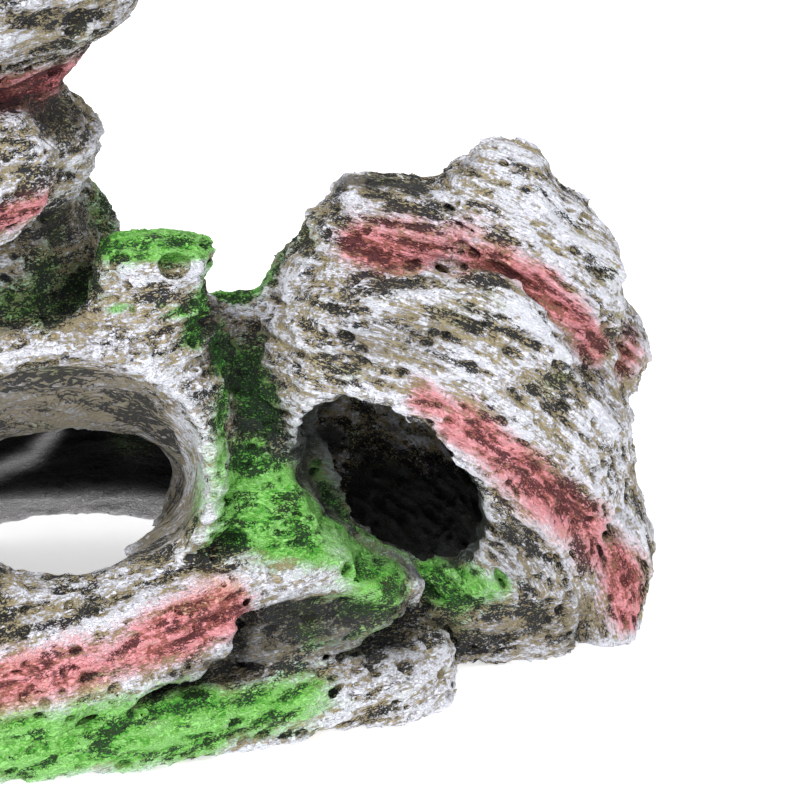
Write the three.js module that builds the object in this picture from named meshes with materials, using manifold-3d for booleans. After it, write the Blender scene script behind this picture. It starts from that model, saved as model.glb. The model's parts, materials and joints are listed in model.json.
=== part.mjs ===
// A hollow resin aquarium ornament: a tall layered pinnacle, an arch that opens into a chamber with no
// floor, a boulder with a cave in it, and a skirt of broken ledges. It is an assembly of separate rock
// castings that are bonded edge to edge. Millimetres, +Z up, +X to the right of the arch mouth, which
// looks along -Y. The origin is on the ground at the centre of the footprint.
import * as THREE from "three";
import { ImprovedNoise } from "three/addons/math/ImprovedNoise.js";
import { mergeVertices } from "three/addons/utils/BufferGeometryUtils.js";
import Module from "manifold-3d";

const wasm = await Module();
wasm.setup();

// Driving dimensions.
const LENGTH = 182; // overall, along X
const SIZE = LENGTH / 182; // the stations below are written for a length of 182
const GLUE_LINE = 0.3; // gap that the adhesive fills between two castings
const SWELL_PERIOD = 22; // distance between the broad swells of every rock
const LUMP_PERIOD = 9; // distance between the small lumps on them
const LUMP_SHARE = 0.45; // height of a lump as a share of the height of a swell
const UPRIGHT_SHARE = 0.6; // how much of the unevenness acts upwards and downwards
const RINGS_PER_STATION = 1.2; // how finely a rock is divided along its axis
const SIDES = 12; // how finely a rock is divided round its axis

// Paint colours of the castings, seen from a distance.
const PAINT = {
  grey: 0xa9a69a,
  dark: 0x4a4a48,
  red: 0xc8736e,
  green: 0x3f9a3a,
  olive: 0x5a6142,
};

const noise = new ImprovedNoise();

// Catmull-Rom value between rows of numbers: at is 0 at the first row and 1 at the last.
function between(rows, at) {
  const place = at * (rows.length - 1);
  const k = Math.min(Math.floor(place), rows.length - 2);
  const t = place - k;
  const row = (i) => rows[THREE.MathUtils.clamp(i, 0, rows.length - 1)];
  return row(k).map((start, column) => {
    const end = row(k + 1)[column];
    const rise = end - start;
    const slope0 = (end - row(k - 1)[column]) / 2;
    const slope1 = (row(k + 2)[column] - start) / 2;
    return start + t * (slope0 + t * (3 * rise - 2 * slope0 - slope1 + t * (slope0 + slope1 - 2 * rise)));
  });
}

// A point of a rounded rectangle that fills -1..1, where square is 2 for an ellipse and more for a box.
function ringPoint(angle, square) {
  const c = Math.cos(angle);
  const s = Math.sin(angle);
  const reach = (Math.abs(c) ** square + Math.abs(s) ** square) ** (-1 / square);
  return [c * reach, s * reach];
}

// Where a point (across, other, along) of a loft lies in (x, y, z) for each axis. HANDED is -1 for the
// axis whose lofts have to be mirrored to keep their faces outwards.
const PLACE = {
  z: (across, other, along) => [across, other, along],
  x: (across, other, along) => [along, across, other],
  y: (across, other, along) => [across, along, other],
};
const HANDED = { z: -1, x: -1, y: 1 };

// A closed lofted rock. Each station is [along, across0, across1, other0, other1], the extent of the
// rock at one place on its axis: [z, x0, x1, y0, y1] for axis z, [x, y0, y1, z0, z1] for axis x and
// [y, x0, x1, z0, z1] for axis y. lean is the rise of a section from left to right, and inflate grows
// the rock all round.
function loft({ axis = "z", stations, square = 2.6, swell = 1.6, sides = SIDES, lean = 0 }, inflate = 0) {
  const rings = Math.round(RINGS_PER_STATION * stations.length) + 1;
  const geometry = new THREE.SphereGeometry(1, sides, rings + 1);
  const position = geometry.getAttribute("position");
  for (let i = 0; i < position.count; i++) {
    const row = Math.floor(i / (sides + 1));
    const side = (i % (sides + 1)) % sides;
    const ring = THREE.MathUtils.clamp(row - 1, 0, rings - 1);
    const station = between(stations, 1 - ring / (rings - 1));
    const [along, across0, across1, other0, other1] = station.map((value) => value * SIZE);
    const pole = row !== ring + 1;
    const [c, s] = pole ? [0, 0] : ringPoint((side / sides) * 2 * Math.PI, square);
    const across = -c * ((across1 - across0) / 2 + inflate);
    const other = HANDED[axis] * s * ((other1 - other0) / 2 + inflate) + lean * across;
    const middle = [(across0 + across1) / 2, (other0 + other1) / 2];
    const end = Number(ring === 0) - Number(ring === rings - 1);
    const place = PLACE[axis](middle[0] + across, middle[1] + other, along + end * inflate);
    const point = new THREE.Vector3(...place);
    point.add(unevenness(point, swell));
    position.setXYZ(i, point.x, point.y, point.z);
  }
  return solid(geometry);
}

// How far a rock's surface strays from its loft at a point.
function unevenness(point, swell) {
  const { x, y, z } = point;
  const wave = (period, shift) => noise.noise(x / period + shift, y / period, z / period - shift);
  const stray = (shift) => swell * (wave(SWELL_PERIOD, shift) + LUMP_SHARE * wave(LUMP_PERIOD, shift + 5.3));
  return new THREE.Vector3(stray(1.7), stray(11.2), UPRIGHT_SHARE * stray(23.9));
}

// A three.js geometry as a manifold solid.
function solid(geometry) {
  geometry.deleteAttribute("normal");
  geometry.deleteAttribute("uv");
  const merged = mergeVertices(geometry, 1e-4);
  return new wasm.Manifold(
    new wasm.Mesh({
      numProp: 3,
      vertProperties: merged.getAttribute("position").array,
      triVerts: new Uint32Array(merged.index.array),
    }),
  );
}

// The castings of each mass of rock, in the order in which they claim the space that two of them share:
// the first one keeps its shape and the later ones are fitted round it.
const MASSES = {
  // The skirt of broken ledges in front of the arch.
  skirt: [
    {
      name: "upper_ledge",
      paint: "red",
      axis: "x",
      square: 4,
      swell: 1.4,
      stations: [
        [-64, -32, -14, 4, 13],
        [-50, -42, -14, 2.5, 18],
        [-35, -46, -14, 2.5, 20.5],
        [-20, -48, -14, 4, 23],
        [-6, -46, -14, 9.5, 26],
        [8, -42, -14, 14.5, 29],
        [14, -38, -15, 17.5, 30],
      ],
    },
    {
      name: "lower_ledge",
      paint: "green",
      axis: "x",
      square: 4,
      swell: 1.2,
      stations: [
        [-62, -36, -12, -2, 5],
        [-42, -46, -12, -2, 8],
        [-20, -49.5, -12, -2, 9],
        [2, -47, -12, -2, 11],
        [22, -42, -12, -2, 12.5],
        [38, -38, -12, -2, 12.5],
        [48, -34, -12, -2, 12],
        [52, -29, -14, 1, 9],
      ],
    },
    {
      name: "dark_ledge",
      paint: "dark",
      axis: "x",
      square: 3.4,
      swell: 1.4,
      stations: [
        [4, -33, -12, 11, 26],
        [16, -34, -12, 11, 27],
        [28, -33, -12, 11, 26.5],
        [37, -31, -12, 12, 25],
        [44, -27, -12, 13, 21],
      ],
    },
    {
      name: "arch_apron",
      paint: "grey",
      axis: "x",
      square: 3,
      swell: 1.2,
      stations: [
        [-60, -30, -10, 10, 21],
        [-40, -37, -10, 12, 23],
        [-20, -39, -10, 16, 25],
        [0, -38, -10, 20, 28.5],
        [16, -37, -10, 24, 33],
        [28, -35, -12, 25, 32],
        [40, -31, -14, 22, 28],
      ],
    },
    {
      name: "moss_slope",
      paint: "green",
      stations: [
        [20, 14, 50, -28, 6],
        [28, 12, 46, -30, 6],
        [35, 10, 36, -29, 6],
        [43, 9, 27, -24, 6],
        [50, 9, 21, -18, 6],
        [54, 10, 17, -13, 2],
      ],
    },
  ],

  // The arch and the broken stump on its right-hand shoulder.
  arch: [
    {
      name: "arch_rim",
      paint: "grey",
      axis: "y",
      square: 2.3,
      sides: 20,
      stations: [
        [-31, -42, 9, 22, 70],
        [-27, -46, 12, 20, 73],
        [-20, -48, 13, 18, 73],
        [-12, -49, 13, 18, 70],
        [-5, -47, 12.5, 18, 66],
      ],
    },
    {
      name: "arch_jamb",
      paint: "grey",
      stations: [
        [10, -62, -41, -29, -6],
        [26, -62, -42, -31, -6],
        [42, -60, -43, -30, -6],
        [56, -57, -41, -28, -6],
        [68, -52, -36, -25, -6],
        [75, -46, -30, -20, -6],
      ],
    },
    {
      name: "stump_moss",
      paint: "green",
      square: 3,
      swell: 0.7,
      sides: 12,
      stations: [
        [81.5, -6.5, 9.5, -20, -9],
        [83, -7.8, 10.8, -22, -8],
        [85, -7.3, 10.3, -21, -8.5],
        [86, -4, 8, -18, -10.5],
      ],
    },
    {
      name: "stump",
      paint: "grey",
      square: 2.8,
      swell: 1.2,
      stations: [
        [56, -17, 12, -27, 2],
        [64, -14, 11, -27, 0],
        [71, -11.5, 9, -26.5, -3],
        [78, -9.5, 8.5, -24.5, -5],
        [82, -8, 9.5, -22, -7],
      ],
    },
  ],

  // The boulder with the cave, the crag behind it and the feet under it.
  cave: [
    {
      name: "cave_sill",
      paint: "dark",
      axis: "x",
      square: 3,
      stations: [
        [38, -15, 4, -2, 15],
        [50, -16.5, 4, -2, 19],
        [60, -17, 4, -2, 21],
        [70, -16, 4, -2, 18],
        [77, -13, 4, -2, 11],
      ],
    },
    {
      name: "corner_buttress",
      paint: "red",
      stations: [
        [-2, 77, 90, -9, 16],
        [8, 77, 91, -10, 18],
        [17, 78, 91.5, -10, 20],
        [25, 79, 90, -9, 18],
        [31, 81, 87, -6, 12],
      ],
    },
    {
      name: "crag_knob",
      paint: "red",
      swell: 1,
      stations: [
        [47, 78, 87, 0, 14],
        [51, 77, 90, -2, 17],
        [55, 76, 91, -2, 18],
        [60, 76, 88.5, -1, 18],
        [64, 76, 86, 3, 16],
      ],
    },
    {
      name: "crag_peak",
      paint: "grey",
      square: 2.8,
      stations: [
        [46, 54, 83, -10, 26],
        [58, 52, 84, -15, 26],
        [66, 50, 84.5, -17, 26],
        [72, 49, 85, -16, 25],
        [77, 49, 82.5, -13, 23],
        [82, 50, 79, -9, 21],
        [88, 53, 74, -3, 18],
        [92, 57, 72, 2, 15],
        [95, 61, 69, 5, 12],
      ],
    },
    {
      name: "crag_shoulder",
      paint: "grey",
      square: 2.8,
      stations: [
        [58, 19, 58, -12, 26],
        [66, 20, 58, -16, 26],
        [72, 22.5, 58, -15, 25],
        [77, 26, 58, -12, 22],
        [82, 30.5, 57, -8, 19],
        [86, 34.5, 54, -2, 16],
        [88, 38, 50, 3, 12],
      ],
    },
    {
      name: "cave_boulder",
      paint: "grey",
      sides: 16,
      stations: [
        [-2, 36, 86, -11, 34],
        [10, 31, 87.5, -14, 36],
        [24, 24, 88.5, -18, 36],
        [38, 19, 87.5, -24, 34],
        [50, 17, 84.5, -28, 30],
        [58, 18, 80, -29, 28],
        [66, 20, 77, -28, 24],
        [72, 24, 72, -26, 14],
        [76, 30, 66, -24, 4],
        [78, 38, 60, -21, -4],
      ],
    },
  ],

  // The low rocks that join the arch to the cave boulder.
  saddle: [
    {
      name: "crevice_rock",
      paint: "olive",
      stations: [
        [30, 4, 34, -14, 16],
        [44, 5, 32, -14, 16],
        [54, 6, 28, -11, 16],
        [62, 8, 26, -6, 15],
        [66, 10, 22, -2, 11],
      ],
    },
    {
      name: "saddle_moss",
      paint: "green",
      swell: 1,
      stations: [
        [48, 4, 36, 4, 34],
        [54, 8, 33, 6, 30],
        [59, 13, 28, 10, 24],
      ],
    },
  ],

  // The tall pinnacle over the left-hand shoulder of the arch, from the top down.
  pinnacle: [
    {
      name: "pinnacle_crown",
      paint: "grey",
      swell: 2.4,
      stations: [
        [132, -62, -10, -18, 14],
        [136, -63, -11, -19, 14],
        [141, -60, -15, -16, 11],
        [145, -57, -24, -12, 8],
        [149, -52, -32, -7, 3],
      ],
    },
    {
      name: "pinnacle_cap",
      paint: "grey",
      swell: 2,
      sides: 16,
      stations: [
        [117, -52, -14, -15, 15],
        [120, -60, -7, -21, 19],
        [124, -66, -2, -25, 22],
        [130, -68, 1, -26, 22],
        [134, -64, -1, -24, 20],
        [137, -56, -8, -18, 14],
      ],
    },
    {
      name: "pinnacle_buttress",
      paint: "grey",
      swell: 2,
      stations: [
        [58, -84, -48, -20, 20],
        [72, -80, -48, -19, 20],
        [88, -77, -48, -19, 17],
        [100, -72, -48, -16, 16],
        [112, -70, -46, -14, 14],
        [120, -64, -46, -11, 11],
      ],
    },
    {
      name: "pinnacle_neck",
      paint: "red",
      swell: 2,
      stations: [
        [106, -56, -18, -14, 14],
        [110, -54, -15, -15, 14],
        [114, -53, -12.5, -16, 15],
        [118, -54, -9, -17, 16],
        [121, -54, -8, -17, 16],
      ],
    },
    {
      name: "pinnacle_plate",
      paint: "grey",
      square: 3,
      swell: 1.4,
      stations: [
        [89, -58, -22, -27, -8],
        [92, -62, -18, -30, -8],
        [100, -63, -15, -31, -8],
        [107, -61, -16, -28, -8],
        [111, -54, -22, -22, -8],
      ],
    },
    {
      name: "pinnacle_shoulder",
      paint: "grey",
      sides: 16,
      stations: [
        [88, -60, -16, -18, 18],
        [91, -65, -12.5, -23, 21],
        [96, -69, -9.5, -25, 22],
        [102, -70, -8, -24, 21],
        [107, -66, -12, -20, 18],
        [110, -58, -16, -16, 15],
      ],
    },
    {
      name: "pinnacle_base",
      paint: "olive",
      swell: 2,
      stations: [
        [60, -64, -8, -18, 20],
        [68, -66, -7, -18, 22],
        [78, -64, -8, -16, 22],
        [86, -62, -11, -15, 21],
        [91, -58, -14, -14, 18],
      ],
    },
  ],

  // The rest of the shell, which closes the chamber at the left and the back.
  shell: [
    {
      name: "arch_boulder",
      paint: "grey",
      sides: 16,
      stations: [
        [-2, -60, 12, -20, 16],
        [18, -60, 12, -22, 16],
        [36, -59, 13, -22, 16],
        [52, -55, 13, -20, 15],
        [63, -50, 12, -18, 13],
        [70, -45, 8, -16, 10],
        [74, -38, 3, -13, 6],
      ],
    },
    {
      name: "left_ledge",
      paint: "grey",
      axis: "x",
      square: 3.6,
      swell: 1.4,
      stations: [
        [-87, -24, 0, -2, 9],
        [-80, -33, 2, -2, 12],
        [-68, -38, 2, -2, 14],
        [-56, -39, 2, -2, 13],
        [-50, -34, 0, -2, 10],
      ],
    },
    {
      name: "left_step",
      paint: "grey",
      square: 3,
      stations: [
        [-2, -91.5, -60, -14, 4],
        [14, -91, -60, -20, 5],
        [28, -87, -60, -21, 5],
        [36, -83, -62, -19, 3],
        [41, -79, -66, -15, 0],
      ],
    },
    {
      name: "left_flank",
      paint: "grey",
      sides: 16,
      stations: [
        [-2, -90, -44, -20, 38],
        [14, -89, -44, -20, 38],
        [30, -87, -44, -19, 35],
        [46, -84, -44, -17, 30],
        [60, -78, -44, -14, 24],
        [70, -70, -48, -8, 16],
      ],
    },
    {
      name: "rear_ridge",
      paint: "olive",
      stations: [
        [58, -48, 0, 10, 36],
        [68, -44, -3, 13, 34],
        [77, -38, -6, 16, 32],
        [84, -32, -11, 18, 28],
        [87, -28, -16, 20, 26],
      ],
    },
    {
      name: "rear_ledge",
      paint: "grey",
      axis: "x",
      square: 3,
      stations: [
        [-34, 34, 46, -2, 12],
        [-20, 34, 49, -2, 20],
        [4, 34, 49.5, -2, 27],
        [28, 34, 49.5, -2, 24],
        [50, 30, 48, -2, 17],
        [66, 26, 43, -2, 13],
      ],
    },
    {
      name: "back_wall",
      paint: "dark",
      sides: 16,
      stations: [
        [-2, -72, 74, 4, 47.5],
        [16, -70, 74, 4, 47],
        [34, -64, 68, 6, 44],
        [48, -56, 46, 6, 38],
        [56, -48, 10, 8, 33],
        [62, -38, -12, 12, 27],
      ],
    },
  ],
};

// What the arch, the cave, the door on the left and the open underside leave empty.
const HOLLOWS = [
  // The arch is a funnel that narrows from the front.
  {
    axis: "y",
    square: 2.1,
    swell: 0.8,
    sides: 20,
    stations: [
      [-60, -44, 14, 25.5, 86],
      [-32, -40.5, 10, 25.5, 72],
      [-24, -39, 8.5, 25.5, 68],
      [-14, -37, 6, 25.5, 54],
      [-9, -36, 5, 25.5, 49],
      [2, -34, 3, 25, 48],
    ],
  },
  // The chamber behind the arch has no floor.
  {
    square: 3,
    swell: 1,
    sides: 16,
    stations: [
      [-6, -66, 20, -10, 44],
      [12, -65, 19, -10, 43.5],
      [28, -60, 15, -9, 40],
      [42, -52, 8, -7, 34],
      [50, -44, 0, -2, 27],
      [55, -34, -14, 6, 22],
    ],
  },
  // The chamber reaches forward under the lip of the arch, which leaves the lip thin.
  {
    square: 3,
    swell: 0.6,
    sides: 14,
    stations: [
      [-6, -34, 3, -20, 2],
      [12, -35, 4, -20.5, 2],
      [22, -36, 5, -21, 2],
      [27, -36, 5, -21, 2],
    ],
  },
  // The far wall stops short of the ground, so water and light come in below it.
  {
    axis: "y",
    square: 3,
    swell: 0.8,
    sides: 14,
    stations: [
      [26, -36, 5, -6, 6],
      [38, -37, 6, -6, 5.6],
      [60, -40, 9, -6, 5.6],
    ],
  },
  // The mouth of the cave slants down to the right.
  {
    axis: "y",
    square: 2.2,
    swell: 0.7,
    lean: -0.5,
    sides: 16,
    stations: [
      [-60, 20, 62, 22, 62],
      [-28, 23, 59, 24, 59],
      [-19, 24, 58.5, 23, 56],
      [-8, 26, 58, 22, 54],
    ],
  },
  // The pocket behind it has no floor either.
  {
    square: 2.6,
    swell: 1,
    stations: [
      [-6, 42, 78, -5, 18],
      [12, 38, 79, -7, 22],
      [22, 32, 79, -12, 26],
      [36, 27, 79, -14, 28],
      [50, 26, 77, -16, 24],
      [60, 30, 70, -14, 18],
      [65, 40, 60, -8, 10],
    ],
  },
  // The door on the left.
  {
    axis: "x",
    square: 2.2,
    swell: 0.8,
    stations: [
      [-110, -2, 26, 4, 42],
      [-78, 0, 24, 6, 38],
      [-56, 2, 22, 8, 36],
    ],
  },
];

// The main body of what is left of a casting, without the crumbs.
function mainBody(made) {
  return made.decompose().reduce((a, b) => (b.volume() > a.volume() ? b : a));
}

// Each casting in its turn, less the ground, the hollows and the castings before it.
function castings(rocks) {
  const cutters = [ground(), ...HOLLOWS.map((hollow) => loft(hollow))];
  return rocks.map((rock) => {
    const made = cutters.reduce((left, cutter) => left.subtract(cutter), loft(rock));
    cutters.push(loft(rock, GLUE_LINE));
    return namedMesh(rock, mainBody(made));
  });
}

// Everything below the surface that the ornament stands on.
function ground() {
  const slab = new THREE.BoxGeometry(2 * LENGTH, 2 * LENGTH, LENGTH);
  return solid(slab.translate(0, 0, -LENGTH / 2));
}

function namedMesh({ name, paint }, made) {
  const { vertProperties, triVerts } = made.getMesh();
  const geometry = new THREE.BufferGeometry();
  geometry.setAttribute("position", new THREE.BufferAttribute(vertProperties, 3));
  geometry.setIndex(new THREE.BufferAttribute(triVerts, 1));
  geometry.computeBoundingBox();
  const centre = geometry.boundingBox.getCenter(new THREE.Vector3());
  geometry.translate(-centre.x, -centre.y, -centre.z);
  geometry.computeVertexNormals();
  const material = new THREE.MeshStandardMaterial({
    color: PAINT[paint],
    roughness: 0.75,
    metalness: 0,
  });
  const mesh = new THREE.Mesh(geometry, material);
  mesh.name = name;
  mesh.position.copy(centre);
  return mesh;
}

const ornament = new THREE.Group();
const meshes = castings(Object.values(MASSES).flat());
for (const rocks of Object.values(MASSES)) {
  const mass = new THREE.Group();
  mass.add(...meshes.splice(0, rocks.length));
  ornament.add(mass);
}

export default ornament;
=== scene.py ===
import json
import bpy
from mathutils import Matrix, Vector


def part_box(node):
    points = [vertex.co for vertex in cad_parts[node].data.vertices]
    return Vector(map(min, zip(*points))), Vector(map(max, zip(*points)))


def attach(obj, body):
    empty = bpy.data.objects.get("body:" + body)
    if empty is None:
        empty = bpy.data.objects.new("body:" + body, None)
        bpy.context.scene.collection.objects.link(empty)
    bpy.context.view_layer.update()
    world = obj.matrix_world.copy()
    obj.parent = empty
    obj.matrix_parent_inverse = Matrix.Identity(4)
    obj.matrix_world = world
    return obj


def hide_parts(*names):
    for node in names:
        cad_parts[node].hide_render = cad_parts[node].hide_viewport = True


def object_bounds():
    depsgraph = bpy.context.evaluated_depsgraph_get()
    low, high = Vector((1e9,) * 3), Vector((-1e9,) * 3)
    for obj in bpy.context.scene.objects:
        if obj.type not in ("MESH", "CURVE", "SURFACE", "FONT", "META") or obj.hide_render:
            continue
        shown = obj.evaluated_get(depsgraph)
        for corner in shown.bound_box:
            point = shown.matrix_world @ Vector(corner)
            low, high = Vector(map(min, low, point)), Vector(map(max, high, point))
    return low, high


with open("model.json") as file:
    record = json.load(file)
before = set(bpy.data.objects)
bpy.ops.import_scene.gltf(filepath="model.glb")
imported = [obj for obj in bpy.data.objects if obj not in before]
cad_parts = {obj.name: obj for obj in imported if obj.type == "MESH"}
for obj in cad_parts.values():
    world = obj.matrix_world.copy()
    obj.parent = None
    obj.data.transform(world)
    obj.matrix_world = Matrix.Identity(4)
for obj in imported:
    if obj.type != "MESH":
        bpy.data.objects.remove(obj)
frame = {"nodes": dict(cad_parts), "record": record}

# The looks of a resin cave ornament. The castings of the frame are joined into one rock, which is
# sculpted in a grid of distances: hewn blocks, grooves and ridges, lumps, bedding, rills and bubble
# pits. Then the rock is parted again into its castings, and each one is painted: charcoal resin,
# dry-brushed in khaki and off-white, with sprays of red and green. The walls of the chamber and the
# cave carry painted shade, black and dark grey, and two bands inside the chamber carry painted light
# in near-white. Lengths are in millimetres until a mesh is made.
from concurrent.futures import ThreadPoolExecutor

import bpy
import numpy as np
import openvdb
from mathutils import Vector

SEED = 7
MM = 0.001
VOXEL = 0.42
REACH = 4.5  # how far from a surface the distances are known
MARGIN = 6.0  # empty space round the rock in the grid
LONGEST_PUSH = 0.3 * VOXEL  # how far one step moves a point back to its edge
OVERLAP = 0.04  # how far the castings run into each other, so that no light shows between them
ROUNDING = 0.6  # how far corners are rounded before the weathering
BAND = 2.6  # how far from the smooth rock the weathering reaches
MOST_RELIEF = 2.1
EDGE_WIDTH = 0.9  # the size of the edges and of the hollows that the paint follows
HOLLOW_WIDTH = 3.2
PITS_PER_AREA = 0.14
CORES = 4
CHUNK = 150_000

CAD_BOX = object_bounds()
LOW = np.array(CAD_BOX[0]) / MM
HIGH = np.array(CAD_BOX[1]) / MM
SPAN = HIGH - LOW
SUBPARTS = frame["record"]["subparts"]
NODES = [entry["node"] for entry in SUBPARTS]
BOXES = {node: np.array(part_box(node)) / MM for node in NODES}
OPENINGS = {
    entry["name"]: np.array(entry["box_m"]) / MM for entry in frame["record"]["physics"]["openings"]
}


def at(node, x, y, z):
    """The point of a casting's box at these shares of its width, depth and height, in millimetres."""
    low, high = BOXES[node]
    return low + (high - low) * np.array([x, y, z])


def smooth_step(value, low, high):
    t = np.clip((value - low) / (high - low), 0, 1)
    return t * t * (3 - 2 * t)


def in_threads(work, points):
    """Works on the points in chunks, on all cores, and joins what comes back."""
    chunks = [points[start : start + CHUNK] for start in range(0, max(len(points), 1), CHUNK)]
    with ThreadPoolExecutor(CORES) as pool:
        return np.concatenate(list(pool.map(work, chunks)))


# ---------------------------------------------------------------- the order of the castings

# How far the crease between a casting and those before it is filled.
LEAST_CREASE = 1.2
CREASE = {
    "moss_slope": 5,
    "arch_apron": 3,
    "arch_rim": 5,
    "arch_jamb": 5,
    "stump_moss": 1.5,
    "stump": 5,
    "crag_peak": 3,
    "crag_shoulder": 4,
    "cave_boulder": 2,
    "crevice_rock": 5,
    "saddle_moss": 3,
    "pinnacle_shoulder": 2,
    "pinnacle_base": 4,
    "arch_boulder": 5,
    "left_flank": 4,
    "back_wall": 3,
}

# Castings with broken, flat faces. Each face has a place on the casting and the way that it looks.
SWELLING = 1.5
HEWN = {
    "upper_ledge": [
        (0.48, 0.13, 0.74, (0.10, -0.95, 0.29)),
        (0.48, 0.13, 0.74, (-0.24, 0.05, 1.0)),
        (0.96, 0.25, 0.55, (0.30, 0.30, -1.0)),
        (0.99, 0.30, 0.90, (1.0, -0.15, -0.2)),
        (0.15, 0.10, 0.50, (-1.0, -0.4, 0.2)),
        (0.50, 0.00, 0.50, (0.0, -1.0, 0.0)),
        (0.50, 0.68, 0.50, (0.0, 1.0, 0.0)),
    ],
    "dark_ledge": [
        (0.50, 0.02, 0.60, (0.12, -1.0, 0.25)),
        (0.50, 0.30, 1.05, (0.10, -0.1, 1.0)),
        (0.50, 0.20, 0.25, (0.25, 0.3, -1.0)),
        (0.98, 0.30, 0.30, (1.0, -0.5, 0.3)),
        (0.00, 0.50, 0.50, (-1.0, 0.0, 0.0)),
        (0.50, 0.90, 0.50, (0.0, 1.0, 0.0)),
    ],
}

# How the layers of the rock lie in each casting. The others are level.
BEDDING = {
    "upper_ledge": "ledge",
    "lower_ledge": "ledge",
    "dark_ledge": "ledge",
    "arch_apron": "ledge",
    "moss_slope": "lumpy",
    "crevice_rock": "lumpy",
    "saddle_moss": "lumpy",
    "stump_moss": "lumpy",
    "pinnacle_base": "lumpy",
    "cave_sill": "lumpy",
    "corner_buttress": "dome",
    "crag_knob": "dome",
    "crag_peak": "dome",
    "crag_shoulder": "dome",
    "cave_boulder": "dome",
}

# How high the lumps, the plates of bedding, the rills and the net of pits stand in each kind of rock.
RELIEF = {
    "level": (0.70, 1.00, 0.75, 0.90),
    "ledge": (0.50, 0.90, 0.85, 0.80),
    "dome": (0.75, 1.00, 1.00, 0.90),
    "lumpy": (0.95, 0.15, 0.25, 1.50),
    "funnel": (0.25, 0.60, 0.45, 0.05),
}

# ---------------------------------------------------------------- noise


class Perlin:
    """Gradient noise of about -1 to 1 at points given in units of its wavelength."""

    def __init__(self, seed):
        rng = np.random.default_rng(SEED * 1000 + seed)
        gradients = rng.normal(size=(256, 3))
        gradients /= np.linalg.norm(gradients, axis=1)[:, None]
        self.gradients = gradients.astype(np.float32) * 1.6
        self.order = rng.permutation(256).astype(np.int32)

    def __call__(self, points):
        cell = np.floor(points).astype(np.int32)
        inside = (points - cell).astype(np.float32)
        ease = inside * inside * inside * (inside * (inside * 6 - 15) + 10)
        x, y, z = (cell & 255).T
        total = np.zeros(len(points), np.float32)
        for dx in (0, 1):
            along_x = self.order[(x + dx) & 255]
            for dy in (0, 1):
                along_y = self.order[(along_x + y + dy) & 255]
                for dz in (0, 1):
                    slope = self.gradients[self.order[(along_y + z + dz) & 255]]
                    value = np.zeros(len(points), np.float32)
                    weight = np.ones(len(points), np.float32)
                    for axis, side in enumerate((dx, dy, dz)):
                        value += slope[:, axis] * (inside[:, axis] - side)
                        weight *= ease[:, axis] if side else 1 - ease[:, axis]
                    total += value * weight
        return total


def fractal(points, period, octaves, seed):
    """Perlin noise with finer and finer octaves, each half as high as the one before."""
    total = np.zeros(len(points), np.float32)
    for octave in range(octaves):
        total += Perlin(seed + octave)(points * np.float32(2**octave / period)) * 0.5**octave
    return total


def crests(noise):
    """Noise folded into narrow crests between wide hollows, zero on average."""
    return 0.3 - np.abs(noise)


# ---------------------------------------------------------------- the grid of distances

ORIGIN = np.floor((LOW - MARGIN) / VOXEL).astype(int)
COUNT = np.ceil((HIGH + MARGIN) / VOXEL).astype(int) - ORIGIN


def window(low, high):
    """The slices of the grid that hold a box."""
    first = np.clip(np.floor(low / VOXEL).astype(int) - ORIGIN, 0, COUNT)
    last = np.clip(np.ceil(high / VOXEL).astype(int) + 1 - ORIGIN, 0, COUNT)
    return tuple(slice(a, b) for a, b in zip(first, last))


def casting_window(node):
    return window(at(node, 0, 0, 0) - REACH, at(node, 1, 1, 1) + REACH)


def grid_axes(part):
    """Coordinates of a part of the grid, as three arrays that broadcast to its shape."""
    axes = [
        ((np.arange(run.start, run.stop) + ORIGIN[axis]) * VOXEL).astype(np.float32)
        for axis, run in enumerate(part)
    ]
    return np.meshgrid(*axes, indexing="ij", sparse=True)


def distances(node):
    """Signed distances to a casting's surface, in its part of the grid: negative inside."""
    mesh = frame["nodes"][node].data
    points = np.empty(len(mesh.vertices) * 3, np.float32)
    mesh.vertices.foreach_get("co", points)
    mesh.calc_loop_triangles()
    corners = np.empty(len(mesh.loop_triangles) * 3, np.int32)
    mesh.loop_triangles.foreach_get("vertices", corners)
    level_set = openvdb.FloatGrid.createLevelSetFromPolygons(
        points.reshape(-1, 3) / MM,
        triangles=corners.reshape(-1, 3).astype(np.uint32),
        transform=openvdb.createLinearTransform(VOXEL),
        halfWidth=REACH / VOXEL,
    )
    part = casting_window(node)
    out = np.empty([s.stop - s.start for s in part], np.float32)
    level_set.copyToArray(out, ijk=tuple(int(ORIGIN[k] + part[k].start) for k in range(3)))
    return out


def blurred(field, radius):
    """A Gaussian blur of that radius in millimetres."""
    reach = int(np.ceil(2.5 * radius / VOXEL))
    taps = np.exp(-0.5 * (np.arange(-reach, reach + 1) * VOXEL / radius) ** 2)
    taps = (taps / taps.sum()).astype(np.float32)

    def along_axis(slab, axis):
        padding = [(reach, reach) if k == axis else (0, 0) for k in range(3)]
        padded = np.moveaxis(np.pad(slab, padding, mode="edge"), axis, 0)
        total = np.zeros_like(np.moveaxis(slab, axis, 0))
        for i, tap in enumerate(taps):
            total += tap * padded[i : i + len(total)]
        return np.moveaxis(total, 0, axis)

    with ThreadPoolExecutor(CORES) as pool:
        for axis in range(3):
            across = (axis + 1) % 3
            slabs = np.array_split(field, CORES, axis=across)
            field = np.concatenate(list(pool.map(along_axis, slabs, [axis] * CORES)), axis=across)
    return field


def widely_blurred(field, radius):
    """The same for a large radius, worked out on every other voxel."""
    coarse = blurred(field[::2, ::2, ::2], radius / 2)
    return np.repeat(np.repeat(np.repeat(coarse, 2, 0), 2, 1), 2, 2)[tuple(slice(n) for n in field.shape)]


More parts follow.
